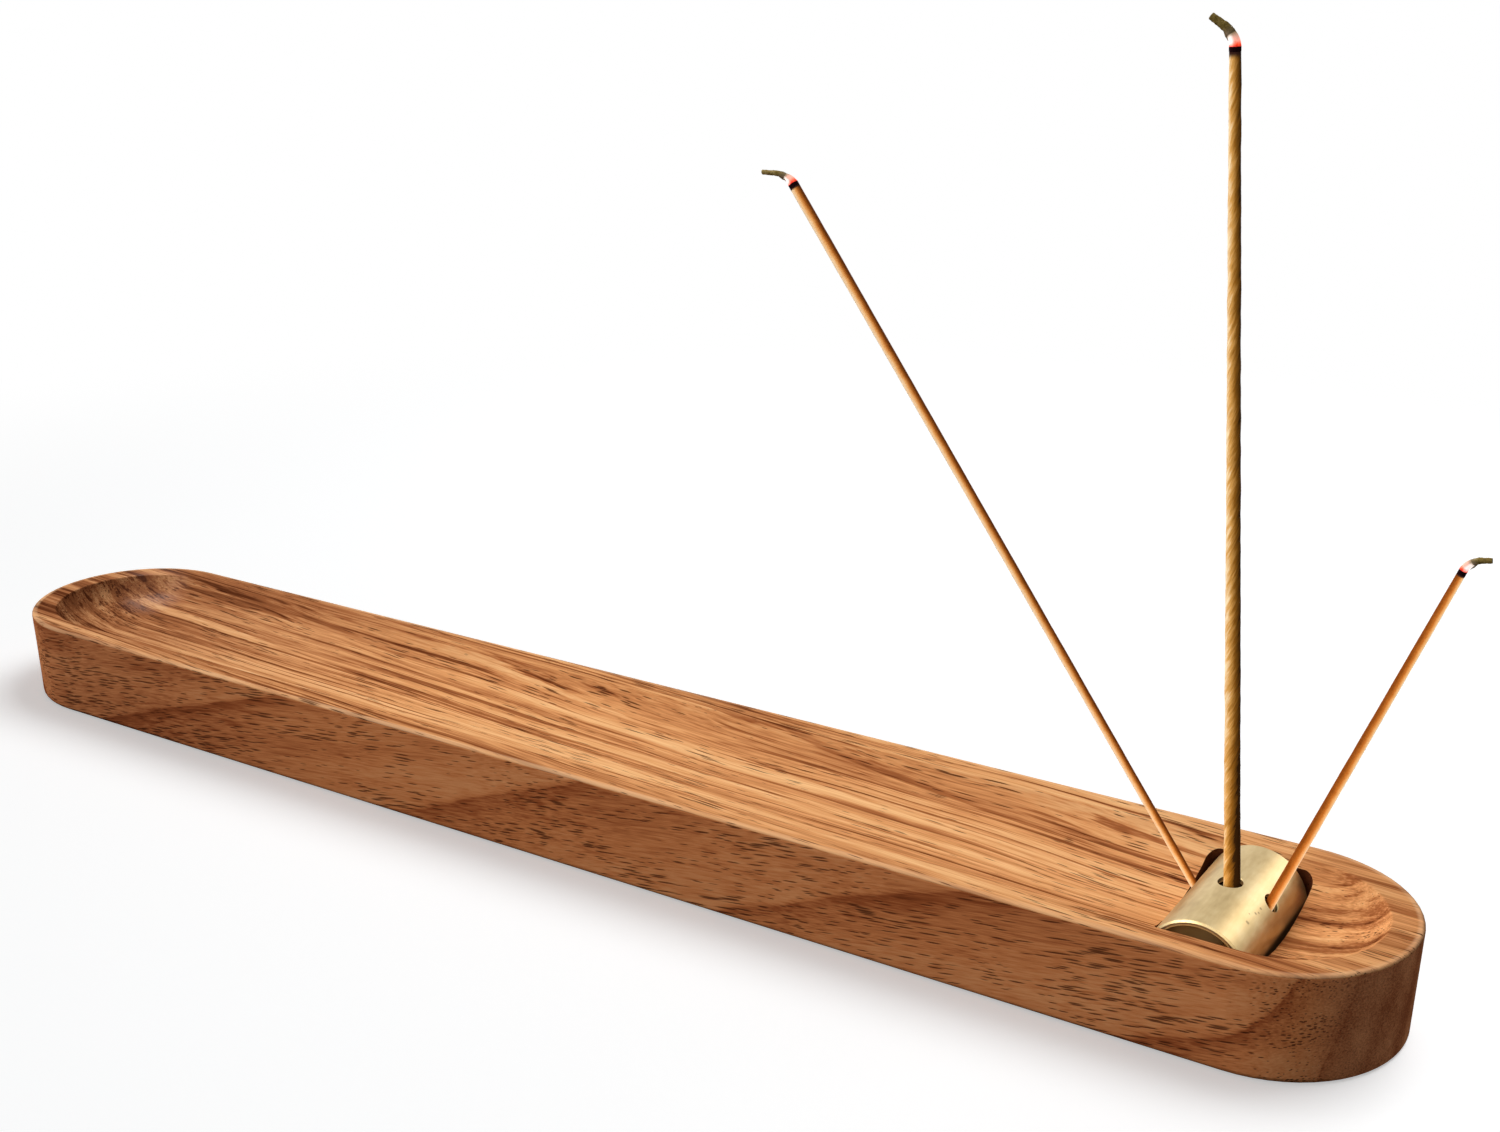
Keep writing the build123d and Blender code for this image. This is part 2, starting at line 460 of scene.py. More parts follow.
def ramp(tree, factor, stops):
    """Colours along a factor, as pairs of place and colour."""
    made = node(tree, "ShaderNodeValToRGB")
    elements = made.color_ramp.elements
    while len(elements) < len(stops):
        elements.new(0.5)
    for element, (place, colour) in zip(elements, stops):
        element.position = place
        element.color = (*colour, 1.0)
    return fed(tree, made, fac=factor)["Color"]


def curve(tree, factor, stops):
    """A number along a factor, as pairs of place and number."""
    grey = ramp(tree, factor, [(place, (value, value, value)) for place, value in stops])
    return fed(tree, node(tree, "ShaderNodeRGBToBW"), color=grey)["Val"]


def mixed(tree, kind, share, first, second, **settings):
    """Two numbers, vectors or colours, mixed by a share."""
    made = node(tree, "ShaderNodeMix", data_type=kind, **settings)
    sockets = [socket for socket in made.inputs if socket.type == kind.replace("FLOAT", "VALUE")]
    for socket, value in zip((made.inputs["Factor"], *sockets[-2:]), (share, first, second)):
        feed(tree, socket, value)
    return next(socket for socket in made.outputs if socket.type == sockets[-1].type)


def blend(tree, share, first, second, kind="MIX"):
    """Two colours mixed by a share."""
    return mixed(tree, "RGBA", share, first, second, blend_type=kind)


def bump(tree, height, depth, strength):
    """A normal for a surface with the given height map."""
    made = node(tree, "ShaderNodeBump")
    return fed(tree, made, strength=strength, distance=depth, height=height)["Normal"]


def new_finish(name, **constants):
    """An empty material with its node tree, and the constants on the shader's own sockets."""
    material = bpy.data.materials.new(name)
    material.use_nodes = True
    return finished(material, **constants), material.node_tree


def finished(material, **sources):
    """The material, with its shader's sockets fed by name."""
    fed(material.node_tree, material.node_tree.nodes["Principled BSDF"], **sources)
    return material


def new_group(name, inputs, outputs):
    """An empty group of nodes for several finishes, with what goes in and what comes out."""
    group = bpy.data.node_groups.new(name, "ShaderNodeTree")
    for way, sockets in (("INPUT", inputs), ("OUTPUT", outputs)):
        for title, kind in sockets.items():
            group.interface.new_socket(title, in_out=way, socket_type="NodeSocket" + kind)
    return group, node(group, "NodeGroupInput").outputs, node(group, "NodeGroupOutput").inputs


def use_group(tree, group, **values):
    """A group's outputs in a finish, with its inputs fed by name."""
    return fed(tree, node(tree, "ShaderNodeGroup", node_tree=group), **values)


def make_uneven_tone():
    """Soft unevenness about zero."""
    inputs = {"Place": "Vector", "Size": "Vector", "Detail": "Float"}
    group, given, result = new_group("uneven_tone", inputs, {"Tone": "Float"})
    soft = noise(group, given["Place"], given["Size"], given["Detail"], uneven_roughness)
    feed(group, result["Tone"], centred(group, soft))
    return group


def make_powdery_grain():
    """Grain about zero as of pressed powder, with the roughness and the surface that go with it."""
    inputs = {"Place": "Vector", "Size": "Float", "Roughness": "Float", "Depth": "Float"}
    outputs = {"Grain": "Float", "Roughness": "Float", "Normal": "Vector"}
    group, given, result = new_group("powdery_grain", inputs, outputs)
    grain = noise(group, given["Place"], combined(group, "XYZ", given["Size"]))
    about = centred(group, grain)
    roughness = add_up(group, given["Roughness"], (about, powder_roughness))
    feed(group, result["Grain"], about)
    feed(group, result["Roughness"], roughness)
    feed(group, result["Normal"], bump(group, grain, given["Depth"], powder_bump))
    return group


def make_scorched_end():
    """A stick's colour, scorched for a short way below its upper end."""
    inputs = {"Colour": "Color", "Start": "Float", "End": "Float"}
    group, given, result = new_group("scorched_end", inputs, {"Colour": "Color"})
    scorch = fade(group, attribute(group, "below_top"), given["Start"], given["End"], 1.0, 0.0)
    feed(group, result["Colour"], blend(group, scorch, given["Colour"], scorch_colour))
    return group


def object_place(tree):
    """The place on the piece, in the shared frame."""
    return node(tree, "ShaderNodeTexCoord").outputs["Object"]


def face_slope(tree):
    """The three numbers of the surface's normal."""
    return split(tree, node(tree, "ShaderNodeTexCoord").outputs["Normal"])


def grain_place(tree, rise):
    """The place in the wood, with X along fibres that drift sideways and rise by an angle."""
    turned = node(tree, "ShaderNodeMapping")
    turn = (0, math.radians(rise), math.radians(-grain_drift_angle))
    return fed(tree, turned, vector=object_place(tree), rotation=turn)["Vector"]


def waved(tree, place):
    """The same place with the fibres bent sideways in slow waves."""
    wave = centred(tree, noise(tree, place, grain_wave_size, detail=1.0))
    shift = combined(tree, "Y", times(tree, wave, 2 * grain_wave))
    return vector_calc(tree, "ADD", place, shift)


def wood_faces(tree):
    """Masks of the faces above, where the cut runs along the fibres, and of the two ends."""
    along, _, upright = face_slope(tree)
    above = fade(tree, upright, *top_span)
    ends = fade(tree, calc(tree, "ABSOLUTE", along), *end_span)
    return above, times(tree, ends, calc(tree, "SUBTRACT", 1.0, above))


def by_face(tree, up, pair):
    """A share from its pair: on the sides, and how much more above."""
    sides, more = pair
    return add_up(tree, sides, (up, more))


def wood_rings(tree, place, ends):
    """How dark the growth rings make the wood, from 0 to 1: sharp along it, soft at its ends."""
    _, y, z = split(tree, place)
    lean = math.radians(ring_lean_angle)
    depth = add_up(
        tree,
        times(tree, y, math.cos(lean)),
        (z, -math.sin(lean)),
        (centred(tree, noise(tree, place, ring_wander_size)), 2 * ring_wander),
        (centred(tree, noise(tree, place, ring_ripple_size)), 2 * ring_ripple),
    )
    rings = add_up(tree, ring_start, (depth, 1 / ring_spacing))
    count = calc(tree, "FLOOR", rings)
    way = calc(tree, "SUBTRACT", rings, count)
    chance = node(tree, "ShaderNodeTexWhiteNoise", noise_dimensions="1D")
    strength = fade(tree, fed(tree, chance, w=count)["Value"], 0.0, 1.0, *ring_strength)
    sharp, soft = curve(tree, way, sharp_ring), curve(tree, way, soft_ring)
    return times(tree, mixed(tree, "FLOAT", ends, sharp, soft), strength)


def wood_lines(tree, place, up):
    """Dark lines along the fibres, mostly above, and finer ones between them."""
    broad = fade(tree, noise(tree, place, line_size, detail=3.0), *line_span)
    broad = times(tree, broad, by_face(tree, up, line_share))
    fine = fade(tree, noise(tree, place, fine_line_size), *fine_line_span)
    return calc(tree, "MAXIMUM", broad, times(tree, fine, fine_line_share))


def wood_pores(tree, place, up):
    """Open pores: short dashes on the sides and long ones above, gathered in patches."""
    bend = noise(tree, place, pore_bend_size, detail=0.0)
    shift = combined(tree, "YZ", times(tree, bend, 2 * pore_bend))
    bent = vector_calc(tree, "ADD", place, shift)
    patchy = fade(tree, noise(tree, place, pore_patch_size, detail=1.0), *pore_patch_span)
    short_reach = by_face(tree, up, pore_reach)
    marks = []
    for size, least in ((pore_size, short_reach), (long_pore_size, long_pore_reach)):
        reach = add_up(tree, least, (patchy, patch_reach))
        inside = calc(tree, "DIVIDE", spots(tree, bent, size), reach)
        marks.append(fade(tree, inside, *pore_span, 1.0, 0.0))
    return calc(tree, "MAXIMUM", *marks)


def pocket_painted_shade(tree):
    """How much painted shade darkens the pocket's floor and walls, where shade falls around the
    tube.
    """
    middle = (tube_axis[0], 0.0, pocket_floor)
    offset = vector_calc(tree, "SUBTRACT", object_place(tree), middle)
    along, across, off_floor = split(tree, vector_calc(tree, "ABSOLUTE", offset))
    inside = fade(tree, along, *pocket_half_x, 1.0, 0.0)
    within = fade(tree, across, *pocket_half_y, 1.0, 0.0)
    facing, _, upright = face_slope(tree)
    wall = fade(tree, calc(tree, "ABSOLUTE", upright), *pocket_wall_span, pocket_wall_shade, 0.0)
    wall = times(tree, wall, fade(tree, facing, *pocket_bare_span))
    ground = fade(tree, off_floor, *pocket_floor_span, 1.0, 0.0)
    shut = times(tree, calc(tree, "MAXIMUM", wall, ground), pocket_shade_share)
    return times(tree, shut, times(tree, inside, within))


def worn_edge_sheen(tree):
    """How far the tray's outer upper edge is painted paler: partly wear, partly a painted highlight
    on its rounded edge.
    """
    place = object_place(tree)
    x, y, z = split(tree, place)
    past = calc(tree, "SUBTRACT", calc(tree, "ABSOLUTE", x), end_centre)
    past = calc(tree, "MAXIMUM", past, 0.0)
    away = calc(tree, "SQRT", add_up(tree, 0.0, (past, past), (y, y)))
    edge = times(tree, fade(tree, away, *edge_reach), fade(tree, z, *edge_height))
    worn = fade(tree, noise(tree, place, edge_patch_size), *edge_patch_span, *edge_wear_and_sheen)
    return times(tree, edge, worn)


def wood_gloss(tree):
    """Where the oil stands thick: a patch in the trough's far end."""
    away = distance(tree, object_place(tree), gloss_place)
    return fade(tree, away, *gloss_span, gloss_strength, 0.0)


def oiled_wood():
    """Oiled hardwood with slanting growth rings, streaks, fibres and open pores."""
    dull = {"specular_ior_level": 0.0, "coat_roughness": gloss_roughness}
    material, tree = new_finish("oiled_wood_grain", **dull)
    up, ends = wood_faces(tree)
    slanting = grain_place(tree, grain_rise_angle)
    rings = wood_rings(tree, slanting, ends)
    level = grain_place(tree, 0.0)
    place = waved(tree, mixed(tree, "VECTOR", up, slanting, level))
    x = split(tree, place)[0]
    near_end = fade(tree, x, *near_trough_span)
    far_end = fade(tree, x, *dark_end_span)
    streak = noise(tree, place, streak_size, roughness=fibrous_roughness)
    fibre = noise(tree, place, fibre_size)
    tone = use_group(tree, uneven_tone, place=place, size=tone_size, detail=1.0)["Tone"]
    cut_along = add_up(tree, 1.0, (ends, end_fade))
    pores = times(tree, wood_pores(tree, place, up), cut_along)
    lines = times(tree, wood_lines(tree, place, up), cut_along)
    lines = times(tree, lines, add_up(tree, 1.0, (near_end, near_line_fade)))
    ring_share = by_face(tree, up, ring_dark)
    ring_share = add_up(tree, ring_share, (lines, ring_line_dark), (ends, ring_end_dark))
    dark = add_up(
        tree,
        by_face(tree, up, base_dark),
        (rings, ring_share),
        (ends, end_dark),
        # painted shade towards the end away from the tube
        (far_end, by_face(tree, up, far_end_shade)),
        # painted shade in the trough beyond the tube
        (times(tree, near_end, up), near_trough_shade),
        (lines, by_face(tree, up, line_dark)),
        (centred(tree, streak), by_face(tree, up, streak_dark)),
        (tone, tone_dark),
        (centred(tree, fibre), fibre_dark),
    )
    colour = ramp(tree, dark, wood_shades)
    sides = blend(tree, 1.0, colour, blend(tree, ends, side_tint, end_tint), "MULTIPLY")
    colour = blend(tree, up, sides, colour)
    colour = blend(tree, far_end, colour, blend(tree, 1.0, colour, far_tint, "MULTIPLY"))
    # paler outer upper edge: wear and a painted highlight
    colour = blend(tree, worn_edge_sheen(tree), colour, edge_sheen_colour)
    pore_share = times(tree, pores, by_face(tree, up, pore_dark))
    colour = blend(tree, pore_share, colour, pore_colour)
    # painted shade in the pocket around the tube
    colour = blend(tree, pocket_painted_shade(tree), colour, pocket_shade_colour)
    height = add_up(tree, 0.0, (fibre, fibre_height), (pores, -1.0))
    return finished(
        material,
        base_color=colour,
        roughness=add_up(tree, wood_roughness, (streak, streak_roughness), (pores, pore_roughness)),
        coat_weight=times(tree, wood_gloss(tree), streak),
        normal=bump(tree, height, pore_depth, pore_bump),
    )


def satin_brass():
    """Satin brass with patina, fine scratches, dark specks, a dull bore and painted shade on its
    underside in the pocket.
    """
    material, tree = new_finish("satin_brass_patina")
    place = object_place(tree)
    mottle = use_group(tree, uneven_tone, place=place, size=brass_mottle_size, detail=3.0)["Tone"]
    draw = noise(tree, place, brass_draw_size)
    about = centred(tree, draw)
    shade = add_up(tree, 0.5, (mottle, 1.0), (about, brass_draw_share))
    colour = ramp(tree, shade, brass_shades)
    across, _, height = split(tree, vector_calc(tree, "SUBTRACT", place, tube_axis))
    reach = calc(tree, "SQRT", add_up(tree, 0.0, (across, across), (height, height)))
    bore = fade(tree, reach, *bore_span, 1.0, 0.0)
    colour = blend(tree, times(tree, bore, bore_tarnish), colour, bore_colour)
    # painted shade on the tube's underside, down in the pocket
    underside = calc(tree, "SUBTRACT", fade(tree, height, *underside_span), bore)
    shaded_below = calc(tree, "MAXIMUM", times(tree, underside, underside_shade_share), 0.0)
    colour = blend(tree, shaded_below, colour, underside_shade_colour)
    for angle, along, size in brass_specks:
        turn = math.radians(angle)
        out, up = tube_radius * math.sin(turn), tube_radius * math.cos(turn)
        away = distance(tree, place, (tube_axis[0] + out, along, tube_axis[2] + up))
        uneven = add_up(tree, away, (about, size))
        speck = fade(tree, uneven, speck_core * size, size, speck_strength, 0.0)
        colour = blend(tree, speck, colour, speck_colour)
    rough = add_up(tree, brass_roughness, (mottle, mottle_roughness), (draw, draw_roughness))
    return finished(
        material,
        base_color=colour,
        metallic=add_up(tree, 1.0, (bore, bore_metal_loss)),
        roughness=add_up(tree, rough, (bore, bore_roughness)),
        normal=bump(tree, shade, brass_scratch_depth, brass_bump),
    )


def dress(piece, material):
    """Gives a piece one material and nothing else."""
    piece.data.materials.clear()
    piece.data.materials.append(material)


class Rod(NamedTuple):
    """A stick's straight line in the solid: its two ends, its radii there and its lean."""

    foot: Vector
    top: Vector
    foot_radius: float
    top_radius: float
    lean: float


class Tip(NamedTuple):
    """How a burnt tip ends: its lean from upright towards +X, the ash's length and radius."""

    lean: float
    ash_length: float
    ash_radius: float


tips = {
    "left": Tip(lean=-90.0, ash_length=0.0045, ash_radius=0.000475),
    "middle": Tip(lean=-58.0, ash_length=0.0039, ash_radius=0.000675),
    "right": Tip(lean=80.0, ash_length=0.0027, ash_radius=0.000475),
}


def read_rod(side):
    """The line of one stick, from the solid's ends."""
    axis = Vector(joints[side + "_lift"]["axis"]).normalized()
    points = [vertex.co for vertex in nodes[side + "_stick"].data.vertices]
    heights = [point.dot(axis) for point in points]
    ends = []
    for height in (min(heights), max(heights)):
        ring = [point for point, at in zip(points, heights) if abs(at - height) < level_gap]
        low = Vector(min(point[i] for point in ring) for i in range(3))
        high = Vector(max(point[i] for point in ring) for i in range(3))
        centre = (low + high) / 2
        ends.append((centre, max((point - centre).length for point in ring)))
    (foot, foot_radius), (top, top_radius) = ends
    lean = math.atan2(axis.x, axis.z)
    return Rod(foot, top, foot_radius + foot_bevel, top_radius, lean)


def to_edit(piece):
    """Opens a piece in edit mode with all of it selected."""
    bpy.context.view_layer.objects.active = piece
    bpy.ops.object.mode_set(mode="EDIT")
    bpy.ops.mesh.select_all(action="SELECT")


def to_object():
    """Closes the piece that is open in edit mode."""
    bpy.ops.object.mode_set(mode="OBJECT")


def start_disc(name, sides, radius):
    """A flat disc at the origin that a piece grows from."""
    bpy.ops.object.select_all(action="DESELECT")
    bpy.ops.mesh.primitive_circle_add(vertices=sides, radius=radius, fill_type="NGON")
    piece = bpy.context.active_object
    piece.name = name
    piece.data.name = name
    return piece


def settle(piece, place, lean):
    """Leans a piece and moves it to its place, which then lies in its mesh."""
    piece.rotation_euler = (0, lean, 0)
    piece.location = place
    bpy.ops.object.transform_apply(location=True, rotation=True, scale=True)


def close_piece(piece):
    """Merges doubles, turns the normals outwards and smooths the shading."""
    to_edit(piece)
    bpy.ops.mesh.remove_doubles(threshold=merge_gap)
    bpy.ops.mesh.normals_make_consistent(inside=False)
    to_object()
    bpy.ops.object.shade_smooth_by_angle(angle=math.radians(smooth_angle))


def roughen(piece, depth, size):
    """Pushes the surface in and out by soft lumps."""
    lumps = bpy.data.textures.new(piece.name + "_lumps", "CLOUDS")
    lumps.noise_scale = size
    push = piece.modifiers.new("lumps", "DISPLACE")
    push.texture = lumps
    push.strength = depth
    bpy.context.view_layer.objects.active = piece
    bpy.ops.object.modifier_apply(modifier=push.name)


def note(piece, name, values, kind="FLOAT"):
    """Keeps a number or a vector for each point of a piece."""
    kept = piece.data.attributes.new(name, kind, "POINT")
    field = "value" if kind == "FLOAT" else "vector"
    kept.data.foreach_set(field, np.asarray(values, dtype=np.float32).ravel())


def points_of(piece):
    """The piece's points as rows."""
    rows = np.empty(len(piece.data.vertices) * 3, dtype=np.float32)
    piece.data.vertices.foreach_get("co", rows)
    return rows.reshape(-1, 3)


def raise_ridges(piece):
    """Moves a disc's corners in and out, so that ridges and grooves take turns round it."""
    for corner, share in enumerate(ridge_shares):
        for i, vertex in enumerate(piece.data.vertices):
            vertex.select = i % len(ridge_shares) == corner
        bpy.ops.object.mode_set(mode="EDIT")
        bpy.ops.mesh.select_mode(type="VERT")
        swell = 1 + ridge_rise * share
        bpy.ops.transform.resize(value=(swell, swell, 1), center_override=(0, 0, 0))
        to_object()


def pull_up(step, height, widen):
    """Pulls the selected face up by a step, to the given height, and sizes it there."""
    bpy.ops.mesh.extrude_region_move(TRANSFORM_OT_translate={"value": (0, 0, step)})
    bpy.ops.transform.resize(value=(widen, widen, 1), center_override=(0, 0, height))


def cut_long_faces(piece):
    """Cuts a stick's long faces across, into many short ones."""
    for _ in range(stick_cut_rounds):
        bpy.ops.mesh.select_mode(type="EDGE")
        bpy.ops.mesh.select_all(action="DESELECT")
        to_object()
        for edge in piece.data.edges:
            low, high = sorted(piece.data.vertices[i].co.z for i in edge.vertices)
            edge.select = low > foot_bevel / 2 and high - low > foot_bevel
        bpy.ops.object.mode_set(mode="EDIT")
        bpy.ops.mesh.subdivide(number_cuts=stick_cuts)


def make_stick(name, rod, ridges):
    """A long tapered stick, grown upwards from its foot; with ridges, they wind round it."""
    length = (rod.top - rod.foot).length
    sides = ridge_count * len(ridge_shares) if ridges else stick_sides
    piece = start_disc(name, sides, rod.foot_radius - foot_bevel)
    if ridges:
        raise_ridges(piece)
    to_edit(piece)
    bpy.ops.mesh.select_mode(type="FACE")
    pull_up(foot_bevel, foot_bevel, rod.foot_radius / (rod.foot_radius - foot_bevel))
    pull_up(length - foot_bevel, length, rod.top_radius / rod.foot_radius)
    cut_long_faces(piece)
    to_object()
    note(piece, "lay", points_of(piece), "FLOAT_VECTOR")
    if ridges:
        twist = piece.modifiers.new("twist", "SIMPLE_DEFORM")
        twist.deform_method = "TWIST"
        twist.deform_axis = "Z"
        twist.angle = 2 * math.pi * length / ridge_turn_length
        bpy.ops.object.modifier_apply(modifier=twist.name)
    settle(piece, rod.foot, rod.lean)
    roughen(piece, *(twisted_lumps if ridges else rolled_lumps))
    close_piece(piece)
    return piece


def bent_path(first, steps):
    """The rings of a bent rod as centre, lean and radius, from steps of length, turn and radius."""
    rings = [first]
    for length, turn, radius in steps:
        centre, heading, _ = rings[-1]
        way = heading + turn / 2
        ahead = Vector((math.sin(way), 0, math.cos(way))) * length
        rings.append((centre + ahead, heading + turn, radius))
    return rings


def make_rod(name, rings, sides):
    """A bent rod grown ring by ring: each new ring is pulled out, turned and sized."""
    first, lean, first_radius = rings[0]
    piece = start_disc(name, sides, first_radius)
    settle(piece, first, lean)
    to_edit(piece)
    bpy.ops.mesh.select_mode(type="FACE")
    for (centre, heading, radius), (after, turned, size) in zip(rings, rings[1:]):
        bpy.ops.mesh.extrude_region_move(TRANSFORM_OT_translate={"value": after - centre})
        bpy.ops.transform.rotate(value=heading - turned, orient_axis="Y", center_override=after)
        scale = size / radius
        bpy.ops.transform.resize(value=(scale, scale, scale), center_override=after)
    to_object()
    return piece


def mark_bend(piece, rings, turn):
    """Keeps how far along the bend each point lies, and how far towards its inner side."""
    points = points_of(piece)
    centres = np.array([centre for centre, _, _ in rings])
    leans = np.array([lean for _, lean, _ in rings])
    radii = np.array([radius for _, _, radius in rings])
    gaps = np.linalg.norm(points[:, None, :] - centres[None, :, :], axis=2)
    nearest = gaps.argmin(axis=1)
    lean = leans[nearest]
    level = np.zeros_like(lean)
    inner = np.stack([np.cos(lean), level, -np.sin(lean)], axis=1) * math.copysign(1, turn)
    ahead = np.stack([np.sin(lean), level, np.cos(lean)], axis=1)
    offset = points - centres[nearest]
    step = (offset * ahead).sum(axis=1)
    spacing = np.linalg.norm(np.diff(centres, axis=0), axis=1).mean()
    note(piece, "along", (nearest + step / spacing) / (len(rings) - 1))
    note(piece, "inner", (offset * inner).sum(axis=1) / radii[nearest])


def tip_steps(rod, tip, turn, chance):
    """The steps of a burnt tip's zones, from the stick's upper end on."""
    top, thin = rod.top_radius, tip.ash_radius
    char = [(char_length / char_steps, 0, top)] * char_steps
    ember_turn = turn * ember_turn_share / ember_steps
    ember = []
    for step in range(1, ember_steps + 1):
        radius = top + (thin - top) * step / ember_steps
        ember.append((ember_length / ember_steps, ember_turn, radius))
    bend_length = tip.ash_length * ash_bend_share
    ash_turn = turn * (1 - ember_turn_share) / ash_bend_steps
    ash = []
    for _ in range(ash_bend_steps):
        uneven = chance.uniform(ash_bend_least, 1.0)
        ash.append((bend_length / ash_bend_steps, ash_turn, thin * uneven))
    straight_step = (tip.ash_length - bend_length) / ash_straight_steps
    for step in range(1, ash_straight_steps + 1):
        share = 1 + (ash_end_share - 1) * step / ash_straight_steps
        uneven = chance.uniform(ash_straight_least, 1.0)
        ash.append((straight_step, 0, thin * share * uneven))
    return {"char_band": char, "glowing_ember": ember, "ash_curl": ash}


def hollow_end(radius):
    """Sinks the middle of a rod's free end, which is still selected from the rod's making."""
    bpy.ops.object.mode_set(mode="EDIT")
    for inwards, down in ash_hollows:
        bpy.ops.mesh.inset(thickness=radius * inwards, depth=-radius * down)
    bpy.ops.mesh.poke()
    to_object()


def make_flake(side, turn, ember_rings, ash_rings):
    """A loose flake of ash that starts on the ash and hangs back along the bend's inner side."""
    join = len(ember_rings) - 1 + int(flake_start * (len(ash_rings) - 1))
    backwards = (ember_rings + ash_rings[1:])[join::-1]
    rings = []
    reach = 0.0
    for (centre, lean, radius), (before, _, _) in zip(backwards, backwards[1:]):
        if reach > flake_length:
            break
        way = reach / flake_length
        thin = flake_thickness * (1 - flake_taper * way)
        free = min(1.0, 2 * way)  # from halfway on it stands off the ash
        lift = radius + (flake_stand_off + thin / 2) * free - thin * (1 - free)
        inner = Vector((math.cos(lean), 0, -math.sin(lean))) * math.copysign(1, turn)
        rings.append((centre + inner * lift, lean + math.pi, thin))
        reach += (before - centre).length
    flake = make_rod(side + "_ash_flake", rings, flake_sides)
    close_piece(flake)
    return flake


def make_tip(side, rod, tip, chance):
    """The charred band, the ember, the ash and its hanging flake of one stick."""
    turn = math.radians(tip.lean) - rod.lean
    rings = [(rod.top, rod.lean, rod.top_radius)]
    pieces = []
    paths = []
    for zone, steps in tip_steps(rod, tip, turn, chance).items():
        rings = bent_path(rings[-1], steps)
        piece = make_rod(side + "_" + zone, rings, tip_sides)
        if zone == "ash_curl":
            *_, end_radius = rings[-1]
            hollow_end(end_radius)
        if zone != "char_band":
            mark_bend(piece, rings, turn)
        roughen(piece, *tip_lumps[zone])
        close_piece(piece)
        pieces.append(piece)
        paths.append(rings)
    _, ember_rings, ash_rings = paths
    return *pieces, make_flake(side, turn, ember_rings, ash_rings)


def paint_light_side(piece, rod, strength, lift):
    """Keeps how far each point of a stick lies towards its painted lit side, and below its upper
    end.
    """
    points = points_of(piece)
    axis = np.array((rod.top - rod.foot).normalized())
    offset = points - np.array(rod.foot)
    offset -= np.outer(offset @ axis, axis)
    turn = math.radians(painted_light_angle)
    pale = np.array((math.cos(turn), math.sin(turn), 0.0)) * strength
    size = np.maximum(np.linalg.norm(offset, axis=1), level_gap)
    note(piece, "pale_side", (offset @ pale) / size + lift)
    note(piece, "below_top", (np.array(rod.top) - points) @ axis)


def attribute(tree, name, output="Fac"):
    """What a piece keeps for each point under a name."""
    return node(tree, "ShaderNodeAttribute", attribute_name=name).outputs[output]


def powdery(material, powder, **colours):
    """The material, with a powder's roughness and surface and the colours given."""
    return finished(material, roughness=powder["Roughness"], normal=powder["Normal"], **colours)


def rolled_incense():
    """Smooth rolled paste, with painted light on one side and painted shade on the other."""
    material, tree = new_finish("rolled_incense_paste", specular_ior_level=matte_specular)
    place = object_place(tree)
    tone = use_group(tree, uneven_tone, place=place, size=paste_tone_size, detail=3.0)["Tone"]
    powder = use_group(tree, powdery_grain, place=place, **paste_powder)
    shade = add_up(
        tree,
        0.5,
        (attribute(tree, "pale_side"), paste_painted_light_share),
        (tone, paste_tone_share),
        (powder["Grain"], paste_grain_share),
    )
    colour = ramp(tree, shade, paste_shades)
    colour = use_group(tree, scorched_end, colour=colour, **paste_scorch)["Colour"]
    return powdery(material, powder, base_color=colour)


def twisted_incense():
    """Fibres twisted into a stick, with painted light on one side, painted shade on the other and
    near its foot, and scorched near the ember.
    """
    material, tree = new_finish("twisted_incense_fibre", specular_ior_level=matte_specular)
    lay = attribute(tree, "lay", "Vector")
    fibre = noise(tree, lay, strand_size, detail=3.0, roughness=fibrous_roughness)
    tone = use_group(tree, uneven_tone, place=lay, size=strand_tone_size, detail=2.0)["Tone"]
    # painted shade towards the foot, down by the tube's hole
    foot = fade(tree, attribute(tree, "below_top"), *strand_foot_span)
    pale_share = add_up(tree, strand_painted_light_share, (foot, strand_foot_painted_light_share))
    shade = add_up(
        tree,
        strand_shade,
        (attribute(tree, "pale_side"), pale_share),
        (foot, strand_foot_shade),
        (tone, strand_tone_share),
        (centred(tree, fibre), strand_grain_share),
    )
    colour = ramp(tree, shade, strand_shades)
    colour = use_group(tree, scorched_end, colour=colour, **strand_scorch)["Colour"]
    return finished(
        material,
        base_color=colour,
        roughness=add_up(tree, strand_roughness, (fibre, strand_rough_share)),
        normal=bump(tree, fibre, strand_depth, strand_bump),
    )


def burnt_char():
    """Black char with a dull red tint."""
    material, tree = new_finish("burnt_char", specular_ior_level=matte_specular)
    powder = use_group(tree, powdery_grain, place=object_place(tree), **char_powder)
    shade = add_up(tree, 0.5, (powder["Grain"], 1.0))
    return powdery(material, powder, base_color=ramp(tree, shade, char_shades))


def glowing_ember():
    """A glowing ember: red at the char, white-hot inside the bend and salmon outside it."""
    material, tree = new_finish("glowing_ember", emission_strength=ember_glow)
    powder = use_group(tree, powdery_grain, place=object_place(tree), **ember_powder)
    uneven = (powder["Grain"], ember_grain_share)
    along = add_up(tree, attribute(tree, "along"), uneven)
    heart = fade(tree, add_up(tree, attribute(tree, "inner"), uneven), *ember_heart_span)
    colour = blend(tree, heart, ramp(tree, along, ember_outside), ramp(tree, along, ember_heart))
    return powdery(material, powder, base_color=colour, emission_color=colour)


